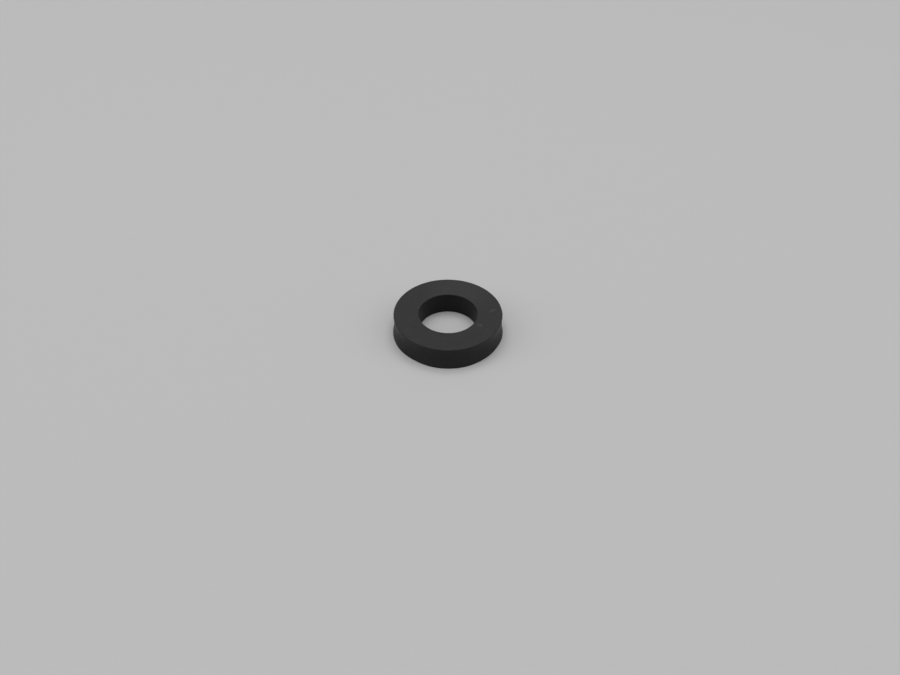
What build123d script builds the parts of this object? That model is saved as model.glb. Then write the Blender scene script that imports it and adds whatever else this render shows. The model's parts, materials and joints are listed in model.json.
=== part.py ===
"""Flat rubber gasket for a hose union: a thick ring punched from sheet rubber.

One piece. Its two faces are the flat skins of the sheet. The punch enters at the upper face, so the
upper rims are rolled over a little, the outer wall draws in below its rim and sweeps out again in a
shallow hollow, and the lower rim is the widest and sharpest edge of the ring. The bore is cut straight.

Millimetres, +Z up. The origin is the centre of the lower face, and the ring's axis is +Z.
"""

from build123d import *
import os

# The sheet and the two cuts
sheet_thickness = 3.1
bore_diameter = 7.8
upper_rim_diameter = 14.6
lower_rim_diameter = 15.0
wall_hollow_depth = 0.14  # at mid-height, from the straight line between the two rims

# Rims: the punch rolls the upper ones over, and leaves the lower ones crisp
rolled_rim_radius = 0.1
crisp_rim_radius = 0.05

bore_radius = bore_diameter / 2
upper_rim_radius = upper_rim_diameter / 2
lower_rim_radius = lower_rim_diameter / 2

with BuildPart() as gasket_ring:
    with BuildSketch(Plane.XZ) as section:
        with BuildLine():
            upper_face = Line((bore_radius, sheet_thickness), (upper_rim_radius, sheet_thickness))
            # A negative sagitta bows the wall towards the axis
            punched_wall = SagittaArc(upper_face @ 1, (lower_rim_radius, 0), -wall_hollow_depth)
            lower_face = Line(punched_wall @ 1, (bore_radius, 0))
            Line(lower_face @ 1, upper_face @ 0)
        make_face()
        fillet(section.vertices().group_by(Axis.Y)[-1], rolled_rim_radius)
        fillet(section.vertices().group_by(Axis.Y)[0], crisp_rim_radius)
    revolve(axis=Axis.Z)

gasket_ring.part.label = "gasket_ring"

os.makedirs("parts", exist_ok=True)
export_step(gasket_ring.part, "parts/gasket_ring.step")
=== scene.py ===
"""Looks for the flat rubber gasket: the punched ring, the pale floor it lies on, and soft light."""

import json
import math

import bmesh
import bpy
from mathutils import Matrix, Vector, noise


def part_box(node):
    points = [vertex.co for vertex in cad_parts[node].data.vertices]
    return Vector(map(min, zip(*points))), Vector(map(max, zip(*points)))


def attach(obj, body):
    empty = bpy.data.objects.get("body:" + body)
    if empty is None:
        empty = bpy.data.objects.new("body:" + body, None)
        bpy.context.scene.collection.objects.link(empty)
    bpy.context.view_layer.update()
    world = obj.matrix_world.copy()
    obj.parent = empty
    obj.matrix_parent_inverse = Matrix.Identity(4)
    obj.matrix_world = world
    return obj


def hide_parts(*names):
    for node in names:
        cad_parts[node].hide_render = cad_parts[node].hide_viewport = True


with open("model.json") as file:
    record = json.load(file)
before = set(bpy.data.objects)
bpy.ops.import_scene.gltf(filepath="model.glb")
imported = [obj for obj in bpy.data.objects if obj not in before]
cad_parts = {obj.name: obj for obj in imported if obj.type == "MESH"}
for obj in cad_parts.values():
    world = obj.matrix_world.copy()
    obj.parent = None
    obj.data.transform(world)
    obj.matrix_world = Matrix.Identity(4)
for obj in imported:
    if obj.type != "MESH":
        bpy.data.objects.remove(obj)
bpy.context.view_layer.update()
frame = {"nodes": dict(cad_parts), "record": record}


# ---- The gasket ring ----
# One ring of black rubber, a dense compound filled with carbon black. It was pressed and cured as
# 3 mm sheet, so both faces are flat matt skins. A tube punch then cut it out from above: the blade
# rolled the upper rims over, dragged down both walls, and left the lower rims crisp.

mm = 0.001

node_low, node_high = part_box("gasket_ring")
sheet_thickness = node_high.z
mounts = {mount["name"]: mount for mount in frame["record"]["mounts"]}
bore_radius = mounts["bore"]["dims"]["r_mm"] * mm

rolled_rim = 0.1 * mm
crisp_rim = 0.05 * mm
wall_hollow = 0.14 * mm

# Before it is rounded, a rim's corner lies outside what the solid shows of that rim: the lower one
# outside the rim's widest place, and the upper one outside the flat of the face. There it lies 0.02 mm
# less far out than the round would take, because the blade pulled that rim in.
upper_corner_reach = 0.9 * rolled_rim
lower_corner_reach = 0.27 * crisp_rim

face_tolerance = 0.001 * mm
upper_face_radii = [
    vertex.co.xy.length
    for vertex in frame["nodes"]["gasket_ring"].data.vertices
    if vertex.co.z > sheet_thickness - face_tolerance
]
upper_rim_radius = max(upper_face_radii) + upper_corner_reach
lower_rim_radius = min(node_high.x, node_high.y, -node_low.x, -node_low.y) + lower_corner_reach

# How finely the ring is drawn: around its axis, along its section, and over each kind of rim
turn_steps = 480
section_step = 0.075 * mm
rolled_steps = 8
crisp_steps = 4


# A point of the section has its distance from the axis as x and its height as y

def across(point):
    """How far out a point lies: 0 at the bore, and 1 at the lower rim's circle."""
    return max(0.0, min(1.0, (point.x - bore_radius) / (lower_rim_radius - bore_radius)))


def down(point):
    """How far down a point lies: 0 at the upper face, and 1 at the lower one."""
    return 1 - point.y / sheet_thickness


def wall_point(share):
    """The outer wall, from 0 at the upper rim to 1 at the lower one: a shallow bow inwards."""
    straight = upper_rim_radius + (lower_rim_radius - upper_rim_radius) * share
    return Vector((straight - 4 * wall_hollow * share * (1 - share), sheet_thickness * (1 - share)))


def bore_point(share):
    """The bore's straight wall, from 0 at the upper rim to 1 at the lower one."""
    return Vector((bore_radius, sheet_thickness * (1 - share)))


def rounded_corner(corner, before, after, radius, steps):
    """A round of that radius between the sides that run from corner towards before and after."""
    to_before = (before - corner).normalized()
    to_after = (after - corner).normalized()
    half_angle = to_before.angle(to_after) / 2
    centre = corner + (to_before + to_after).normalized() * radius / math.sin(half_angle)
    tangent_length = radius / math.tan(half_angle)
    first = corner + to_before * tangent_length - centre
    last = corner + to_after * tangent_length - centre
    return [centre + first.slerp(last, step / steps) * radius for step in range(steps + 1)]


def side_between(start, end, wall=None):
    """Evenly spaced points between two rounds, without their ends: in line, or on the wall given."""
    count = max(2, round((end - start).length / section_step))
    if wall is None:
        return [start.lerp(end, step / count) for step in range(1, count)]
    return [wall(down(start) + (down(end) - down(start)) * step / count) for step in range(1, count)]


def rising(points):
    """Those points of a round, each with how much of it belongs to the cut: from none to all."""
    return [(point, index / (len(points) - 1)) for index, point in enumerate(points)]


def falling(points):
    """The same, from all to none."""
    return [(point, 1 - share) for point, share in rising(points)]


# Points of the bowed wall close to its rims, which show how it leans there
under_upper_rim = wall_point(0.02)
over_lower_rim = wall_point(0.98)

upper_outer = rounded_corner(wall_point(0), under_upper_rim, bore_point(0), rolled_rim, rolled_steps)
upper_inner = rounded_corner(bore_point(0), wall_point(0), bore_point(1), rolled_rim, rolled_steps)
lower_inner = rounded_corner(bore_point(1), bore_point(0), wall_point(1), crisp_rim, crisp_steps)
lower_outer = rounded_corner(wall_point(1), bore_point(1), over_lower_rim, crisp_rim, crisp_steps)

# The section runs anticlockwise: up the outer wall, in over the upper face, down the bore, and out
# below. Each point has its share of the cut, which is 1 on the walls and 0 on the faces.
section = []
section += [(point, 1) for point in side_between(lower_outer[-1], upper_outer[0], wall_point)]
section += falling(upper_outer)
section += [(point, 0) for point in side_between(upper_outer[-1], upper_inner[0])]
section += rising(upper_inner)
section += [(point, 1) for point in side_between(upper_inner[-1], lower_inner[0], bore_point)]
section += falling(lower_inner)
section += [(point, 0) for point in side_between(lower_inner[-1], lower_outer[0])]
section += rising(lower_outer)

# The lower rim tore a little short of its circle in places: bearings in degrees, and mm short
rim_shortfall = (
    (0, 0.0), (45, 0.08), (90, 0.01), (135, 0.08), (180, 0.02), (206, 0.0), (235, 0.09), (262, 0.01),
    (285, 0.0), (310, 0.08), (334, 0.09), (352, 0.0), (360, 0.0))


def stands_back(bearing, point):
    """How far a point of the section stands back from its circle at that bearing."""
    for (start, short), (end, next_short) in zip(rim_shortfall, rim_shortfall[1:]):
        if start <= bearing < end:
            ease = 0.5 - 0.5 * math.cos(math.pi * (bearing - start) / (end - start))
            rim_short = (short + (next_short - short) * ease) * mm
    return rim_short * across(point) * down(point)


# The tube that cut the bore stood a little off the centre
bore_drift = Vector((0, -0.05 * mm, 0))

# What the press and the blade leave in the rubber, each as a depth and the size of its pattern
face_ripple, face_ripple_size = 0.006 * mm, 1.8 * mm
wall_flute, wall_flute_size = 0.012 * mm, 0.45 * mm
rim_nick, rim_nick_size = 0.016 * mm, 0.30 * mm
# A shift for each, so that no two patterns are alike
face_ripple_shift, wall_flute_shift, rim_nick_shift = 3.7, 19.1, 27.9
# Flutes are this much longer than wide, and nicks reach this far up from the lower rims
flute_stretch = 9
rim_nick_height = 2 * rim_nick_size
# The upper face falls away towards its rims by this much, over this width
face_roll, face_roll_width = 0.015 * mm, 0.6 * mm
# Smooth noise seldom leaves its middle, so it is widened to fill each depth
noise_gain = 1.6


def dip(place, size, shift):
    """A smooth random depth from 0 to 1 at a place, with bumps about that size."""
    level = noise_gain * noise.noise(place / size + Vector((shift, 0, 0)))
    return 0.5 + 0.5 * max(-1.0, min(1.0, level))


def worn_in(place, cut_share):
    """How far the surface lies inside its plain form at a place."""
    radius = place.xy.length
    from_rim = max(0.0, min(radius - bore_radius, upper_rim_radius - radius))
    roll = max(0.0, 1 - from_rim / face_roll_width) ** 2 * place.z / sheet_thickness
    pressed = face_ripple * dip(place, face_ripple_size, face_ripple_shift) + face_roll * roll
    along_cut = Vector((place.x, place.y, place.z / flute_stretch))
    near_lower_rim = max(0.0, 1 - place.z / rim_nick_height)
    cut = wall_flute * dip(along_cut, wall_flute_size, wall_flute_shift)
    cut += rim_nick * near_lower_rim * dip(place, rim_nick_size, rim_nick_shift)
    return pressed + (cut - pressed) * cut_share


# The ring's surfaces, in the order of its materials
SKIN, WALL, BORE = 0, 1, 2
middle_radius = 0.5 * (bore_radius + upper_rim_radius)

ring_mesh = bpy.data.meshes.new("gasket_ring_punched")
ring_form = bmesh.new()
rows = []
for turn in range(turn_steps):
    angle = math.tau * turn / turn_steps
    around = Vector((math.cos(angle), math.sin(angle), 0))
    row = []
    for index, (point, cut_share) in enumerate(section):
        along = section[(index + 1) % len(section)][0] - section[index - 1][0]
        outward = (around * along.y - Vector((0, 0, along.x))).normalized()
        radius = point.x - stands_back(math.degrees(angle), point)
        place = around * radius + Vector((0, 0, point.y)) + bore_drift * (1 - across(point))
        row.append(ring_form.verts.new(place - outward * worn_in(place, cut_share)))
    rows.append(row)
for turn, row in enumerate(rows):
    following = rows[(turn + 1) % turn_steps]
    for index, (point, cut_share) in enumerate(section):
        after = (index + 1) % len(section)
        face = ring_form.faces.new((row[index], following[index], following[after], row[after]))
        cut_side = WALL if point.x > middle_radius else BORE
        face.material_index = cut_side if cut_share >= 0.5 else SKIN
        face.smooth = True
bmesh.ops.recalc_face_normals(ring_form, faces=ring_form.faces)
ring_form.to_mesh(ring_mesh)
ring_form.free()
gasket_ring = bpy.data.objects.new("punched_ring", ring_mesh)
bpy.context.scene.collection.objects.link(gasket_ring)


def linear(hex_colour):
    """An sRGB hex colour as the linear RGBA that the shaders take."""
    levels = [int(hex_colour[start:start + 2], 16) / 255 for start in (1, 3, 5)]
    return [x / 12.92 if x <= 0.04045 else ((x + 0.055) / 1.055) ** 2.4 for x in levels] + [1.0]


def blank_material(name):
    """A material that has no nodes yet."""
    material = bpy.data.materials.new(name)
    material.use_nodes = True
    material.node_tree.nodes.clear()
    return material


def add_node(tree, kind, inputs=None, **settings):
    """Adds a node with its settings, and gives its inputs values or links from other nodes.

    Only the sockets that the settings leave in use count. An input goes by its name, or by its number
    where several share a name, and a node in place of a value stands for its first output.
    """
    added = tree.nodes.new(kind)
    for name, value in settings.items():
        setattr(added, name, value)
    in_use = [socket for socket in added.inputs if socket.enabled]
    for key, value in (inputs or {}).items():
        socket = in_use[key] if isinstance(key, int) else next(s for s in in_use if s.name == key)
        if isinstance(value, bpy.types.Node):
            value = next(output for output in value.outputs if output.enabled)
        if isinstance(value, bpy.types.NodeSocket):
            tree.links.new(value, socket)
        else:
            socket.default_value = value
    return added


# A noise seldom leaves this span about its middle, so what it steers is spread over the span
noise_span = {"From Min": 0.3, "From Max": 0.7}


def pressed_skin():
    """Black rubber as it leaves the press: dry and matt, finely grained, with a faint, uneven grey cast,
    painted shade in the grain's hollows, and painted light that makes the face paler towards its far side.
    """
    material = blank_material("press_cured_black_rubber")
    tree = material.node_tree
    place = add_node(tree, "ShaderNodeTexCoord").outputs["Object"]

    # Bloom: wax and filler that rise to the skin and dry to a thin grey cast, in patches
    bloom_size = 1.6 * mm
    bloom = add_node(tree, "ShaderNodeTexNoise", {
        "Vector": place, "Scale": 1 / bloom_size, "Detail": 4.0, "Roughness": 0.6})
    # Wiped streaks, left by the hand that cleaned the sheet
    streak_width = 0.25 * mm
    streak_stretch = 10
    streak_slant = math.radians(35)
    wiped = add_node(tree, "ShaderNodeMapping", {
        "Vector": place, "Rotation": (0, 0, streak_slant), "Scale": (1 / streak_stretch, 1, 1)})
    streaks = add_node(tree, "ShaderNodeTexNoise", {
        "Vector": wiped, "Scale": 1 / streak_width, "Detail": 2.0, "Roughness": 0.6})
    # The press plate's blasted grain
    grain_size = 0.09 * mm
    grain_depth = 0.014 * mm
    grain = add_node(tree, "ShaderNodeTexNoise", {
        "Vector": place, "Scale": 1 / grain_size, "Detail": 3.0, "Roughness": 0.55})

    # The cast is the sum of what each of them adds
    bloom_cast = add_node(tree, "ShaderNodeMapRange", {
        "Value": bloom, **noise_span, "To Min": -0.08, "To Max": 0.26})
    streak_cast = add_node(tree, "ShaderNodeMapRange", {
        "Value": streaks, **noise_span, "To Min": 0.0, "To Max": 0.15})
    cast = add_node(tree, "ShaderNodeMath", {0: bloom_cast, 1: streak_cast}, operation="ADD")
    # Painted shade: the grain's hollows are painted darker and its tops paler, following the height of its
    # bump
    grain_hollow_shade = add_node(tree, "ShaderNodeMapRange", {
        "Value": grain, **noise_span, "To Min": 0.0, "To Max": 0.5})
    cast = add_node(tree, "ShaderNodeMath", {0: cast, 1: grain_hollow_shade}, operation="ADD")

    # Painted light: the face is painted paler towards its far side, where it catches more light
    painted_light_centre = (1.6 * mm, 5.4 * mm, sheet_thickness)
    painted_light_full_radius = 1.5 * mm
    painted_light_reach = 6.5 * mm
    from_painted_light_centre = add_node(tree, "ShaderNodeVectorMath", {
        0: place, 1: painted_light_centre}, operation="DISTANCE")
    painted_light = add_node(tree, "ShaderNodeMapRange", {
        "Value": from_painted_light_centre, "From Min": painted_light_reach, "From Max": painted_light_full_radius,
        "To Max": 0.34}, interpolation_type="SMOOTHSTEP")
    cast = add_node(tree, "ShaderNodeMath", {0: cast, 1: painted_light}, operation="ADD")

    # Two faint scuffs, frayed into fine scratches, by place and length in mm and slant in degrees.
    # Within a scuff 1 is its edge, so the scratches are half as long as it, and 0.08 mm apart.
    scuff_half_width = 0.38 * mm
    scuff_half_depth = 1.0 * mm
    scratch_size = 0.6
    for x, y, slant, long in ((5.95, 0.5, 45, 1.7), (4.2, -2.45, -40, 1.3)):
        in_scuff = add_node(tree, "ShaderNodeMapping", {
            "Vector": place, "Location": (x * mm, y * mm, sheet_thickness),
            "Rotation": (0, 0, math.radians(slant)),
            "Scale": (0.5 * long * mm, scuff_half_width, scuff_half_depth)}, vector_type="TEXTURE")
        from_middle = add_node(tree, "ShaderNodeVectorMath", {0: in_scuff}, operation="LENGTH")
        scuffed = add_node(tree, "ShaderNodeMapRange", {
            "Value": from_middle, "From Min": 1.0, "From Max": 0.1}, interpolation_type="SMOOTHSTEP")
        frayed = add_node(tree, "ShaderNodeMapping", {"Vector": in_scuff, "Scale": (0.6, 3.0, 1.0)})
        scratches = add_node(tree, "ShaderNodeTexNoise", {
            "Vector": frayed, "Scale": 1 / scratch_size, "Detail": 3.0, "Roughness": 0.6})
        scratched = add_node(tree, "ShaderNodeMapRange", {
            "Value": scratches, **noise_span, "To Min": -0.3, "To Max": 2.3})
        cast = add_node(tree, "ShaderNodeMath", {
            0: scuffed, 1: scratched, 2: cast}, operation="MULTIPLY_ADD")
    # A cast of more than 1 is paler still than the second colour
    colour = add_node(tree, "ShaderNodeMix", {
        "Factor": cast, "A": linear("#252525"), "B": linear("#353535")},
        data_type="RGBA", clamp_factor=False)

    # Dust: small pale specks, on about one cell in eight of a grid
    dust_grid = 0.4 * mm
    speck_radius = 0.036 * mm
    dusty_share = 0.12
    speck_strength = 0.2
    cells = add_node(tree, "ShaderNodeTexVoronoi", {"Vector": place, "Scale": 1 / dust_grid})
    close = add_node(tree, "ShaderNodeMath", {
        0: cells.outputs["Distance"], 1: speck_radius / dust_grid}, operation="LESS_THAN")
    drawn_lot = add_node(tree, "ShaderNodeSeparateXYZ", {"Vector": cells.outputs["Color"]})
    chosen = add_node(tree, "ShaderNodeMath", {0: drawn_lot, 1: dusty_share}, operation="LESS_THAN")
    speck = add_node(tree, "ShaderNodeMath", {0: close, 1: chosen}, operation="MULTIPLY")
    speck = add_node(tree, "ShaderNodeMath", {0: speck, 1: speck_strength}, operation="MULTIPLY")
    dusted = add_node(tree, "ShaderNodeMix", {
        "Factor": speck, "A": colour, "B": linear("#8C8A86")}, data_type="RGBA")

    # Bare rubber would have a specular level of 0.5, but the dry bloom hides most of its gloss
    roughness = add_node(tree, "ShaderNodeMapRange", {
        "Value": bloom, **noise_span, "To Min": 0.70, "To Max": 0.80})
    relief = add_node(tree, "ShaderNodeBump", {
        "Height": grain, "Distance": grain_depth, "Strength": 1.0})
    rubber = add_node(tree, "ShaderNodeBsdfPrincipled", {
        "Base Color": dusted, "Roughness": roughness, "Specular IOR Level": 0.2, "Normal": relief})
    add_node(tree, "ShaderNodeOutputMaterial", {"Surface": rubber})
    return material


def punched_wall(name, deepest, palest):
    """The same rubber where a blade went through: bare, smoother, dragged in fine lines along the cut."""
    material = blank_material(name)
    tree = material.node_tree
    place = add_node(tree, "ShaderNodeTexCoord").outputs["Object"]

    # Drag lines that run down the wall, so the pattern is drawn out along the axis
    drag_spacing = 0.09 * mm
    drawn_out = add_node(tree, "ShaderNodeMapping", {"Vector": place, "Scale": (1, 1, 0.06)})
    drag = add_node(tree, "ShaderNodeTexNoise", {
        "Vector": drawn_out, "Scale": 1 / drag_spacing, "Detail": 4.0, "Roughness": 0.7})
    # Torn grain: the blade burnished it away near the upper rim, and less and less below
    tear_size = 0.08 * mm
    torn_below = 0.45 * sheet_thickness
    burnished_above = 0.85 * sheet_thickness
    tear = add_node(tree, "ShaderNodeTexNoise", {
        "Vector": place, "Scale": 1 / tear_size, "Detail": 3.0, "Roughness": 0.6})
    height_up = add_node(tree, "ShaderNodeSeparateXYZ", {"Vector": place}).outputs["Z"]
    torn = add_node(tree, "ShaderNodeMapRange", {
        "Value": height_up, "From Min": torn_below, "From Max": burnished_above,
        "To Min": 0.6, "To Max": 0.1}, interpolation_type="SMOOTHSTEP")
    cut_depth = 0.016 * mm
    cut_height = add_node(tree, "ShaderNodeMath", {0: tear, 1: torn, 2: drag}, operation="MULTIPLY_ADD")
    relief = add_node(tree, "ShaderNodeBump", {
        "Height": cut_height, "Distance": cut_depth, "Strength": 1.0})

    drag_shade = add_node(tree, "ShaderNodeMapRange", {
        "Value": drag, **noise_span, "To Min": 0.0, "To Max": 0.5})
    tear_shade = add_node(tree, "ShaderNodeMapRange", {
        "Value": tear, **noise_span, "To Min": 0.0, "To Max": 0.5})
    shade = add_node(tree, "ShaderNodeMath", {0: drag_shade, 1: tear_shade}, operation="ADD")
    colour = add_node(tree, "ShaderNodeMix", {
        "Factor": shade, "A": linear(deepest), "B": linear(palest)}, data_type="RGBA")

    # The torn part is duller. Pores and tears too fine to draw swallow most of the gloss of a cut, so
    # the specular level lies well under rubber's 0.5
    torn_dullness = 0.15
    drag_roughness = add_node(tree, "ShaderNodeMapRange", {
        "Value": drag, **noise_span, "To Min": 0.36, "To Max": 0.44})
    roughness = add_node(tree, "ShaderNodeMath", {
        0: torn, 1: torn_dullness, 2: drag_roughness}, operation="MULTIPLY_ADD")
    rubber = add_node(tree, "ShaderNodeBsdfPrincipled", {
        "Base Color": colour, "Roughness": roughness, "Specular IOR Level": 0.11, "Normal": relief})
    add_node(tree, "ShaderNodeOutputMaterial", {"Surface": rubber})
    return material


ring_mesh.materials.append(pressed_skin())
ring_mesh.materials.append(punched_wall("punched_rubber_outside", "#242424", "#2C2C2C"))
# Painted shade: the bore's wall is painted darker than the outer wall, for the deeper shade inside the bore
ring_mesh.materials.append(punched_wall("punched_rubber_bore_painted_shade", "#202020", "#272727"))
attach(gasket_ring, "root")
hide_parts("gasket_ring")


# ---- The floor ----
# A plain pale sheet, matt, large enough to fill every view. The ring's lower face lies on it, and far
# from the ring it fades into the backdrop, so that no line shows where it ends.

pale_grey = linear("#BABABA")
floor_radius = 600 * mm
fade_start = 150 * mm
fade_end = 500 * mm


def seen_directly(tree):
    """1 for what the camera sees, also in a mirror or through glass, and 0 for what only lights things."""
    rays = add_node(tree, "ShaderNodeLightPath").outputs
    reflected = add_node(tree, "ShaderNodeMath", {
        0: rays["Is Glossy Ray"], 1: rays["Is Transmission Ray"]}, operation="MAXIMUM")
    return add_node(tree, "ShaderNodeMath", {
        0: rays["Is Camera Ray"], 1: reflected}, operation="MAXIMUM")


floor_mesh = bpy.data.meshes.new("floor")
floor_form = bmesh.new()
bmesh.ops.create_circle(floor_form, cap_ends=True, segments=96, radius=floor_radius)
floor_form.to_mesh(floor_mesh)
floor_form.free()
floor = bpy.data.objects.new("floor", floor_mesh)
bpy.context.scene.collection.objects.link(floor)

# A matt sheet: one even grey without gloss, which shows the ring's soft shadow
pale_sheet = blank_material("matt_pale_sheet")
sheet_tree = pale_sheet.node_tree
sheet = add_node(sheet_tree, "ShaderNodeBsdfPrincipled", {
    "Base Color": pale_grey, "Roughness": 0.8, "Specular IOR Level": 0.0})
floor_place = add_node(sheet_tree, "ShaderNodeTexCoord").outputs["Object"]
from_ring = add_node(sheet_tree, "ShaderNodeVectorMath", {0: floor_place}, operation="LENGTH")
fade = add_node(sheet_tree, "ShaderNodeMapRange", {
    "Value": from_ring, "From Min": fade_start, "From Max": fade_end}, interpolation_type="SMOOTHSTEP")
seen_fade = add_node(sheet_tree, "ShaderNodeMath", {
    0: fade, 1: seen_directly(sheet_tree)}, operation="MULTIPLY")
backdrop = add_node(sheet_tree, "ShaderNodeEmission", {"Color": pale_grey})
blend = add_node(sheet_tree, "ShaderNodeMixShader", {0: seen_fade, 1: sheet, 2: backdrop})
add_node(sheet_tree, "ShaderNodeOutputMaterial", {"Surface": blend})
floor_mesh.materials.append(pale_sheet)


# ---- The light ----
# Three soft panels: a wide one overhead, and a tall one on each side, which lighten the ring's flanks
# and leave the walls that face the camera dark. A dim, even room fills the rest.

room_level = 0.48


def soft_panel(name, place, width, height, radiance):
    """A panel of that radiance that faces the ring, and that the camera doesn't see."""
    lamp = bpy.data.lights.new(name, "AREA")
    lamp.shape = "RECTANGLE"
    lamp.size = width
    lamp.size_y = height
    lamp.energy = radiance * math.pi * width * height
    panel = bpy.data.objects.new(name, lamp)
    panel.location = place
    panel.rotation_mode = "QUATERNION"
    panel.rotation_quaternion = Vector(place).to_track_quat("Z", "Y")
    panel.visible_camera = False
    bpy.context.scene.collection.objects.link(panel)


soft_panel("panel_above", (0, 95 * mm, 895 * mm), width=800 * mm, height=800 * mm, radiance=2.99)
soft_panel("panel_left", (-743 * mm, -131 * mm, 490 * mm), width=450 * mm, height=850 * mm, radiance=1.51)
soft_panel("panel_right", (743 * mm, -131 * mm, 490 * mm), width=450 * mm, height=850 * mm, radiance=1.23)

# The room shows at full strength where it is seen, and lights the ring at its own low level
world = bpy.data.worlds.new("pale_room")
bpy.context.scene.world = world
world.use_nodes = True
sky = world.node_tree
sky.nodes.clear()
sky_level = add_node(sky, "ShaderNodeMapRange", {
    "Value": seen_directly(sky), "To Min": room_level, "To Max": 1.0})
background = add_node(sky, "ShaderNodeBackground", {"Color": pale_grey, "Strength": sky_level})
add_node(sky, "ShaderNodeOutputWorld", {"Surface": background})


# ---- The camera ----
# A close view from in front and well above, with the ring small and just above the middle.

sight_distance = 94.5 * mm
sight_elevation = math.radians(40.57)
aim_below_ring = math.radians(2.0)
aim_right_of_ring = math.radians(0.235)
camera_tilt = math.radians(0.53)

close_view = bpy.data.cameras.new("close_view")
close_view.sensor_width = 36
close_view.lens = 28.3
close_view.clip_start = 5 * mm
close_view.clip_end = 2000 * mm
camera = bpy.data.objects.new("close_view", close_view)
upper_face_centre = Vector((0, 0, sheet_thickness))
sight = Vector((0, -math.cos(sight_elevation), math.sin(sight_elevation)))
camera.location = upper_face_centre + sight * sight_distance
turned = Matrix.Rotation(-aim_right_of_ring, 3, "Z")
lowered = Matrix.Rotation(math.pi / 2 - sight_elevation - aim_below_ring, 3, "X")
tilted = Matrix.Rotation(camera_tilt, 3, "Z")
camera.rotation_euler = (turned @ lowered @ tilted).to_euler()
bpy.context.scene.collection.objects.link(camera)
bpy.context.scene.camera = camera
bpy.context.scene.view_settings.view_transform = "Standard"
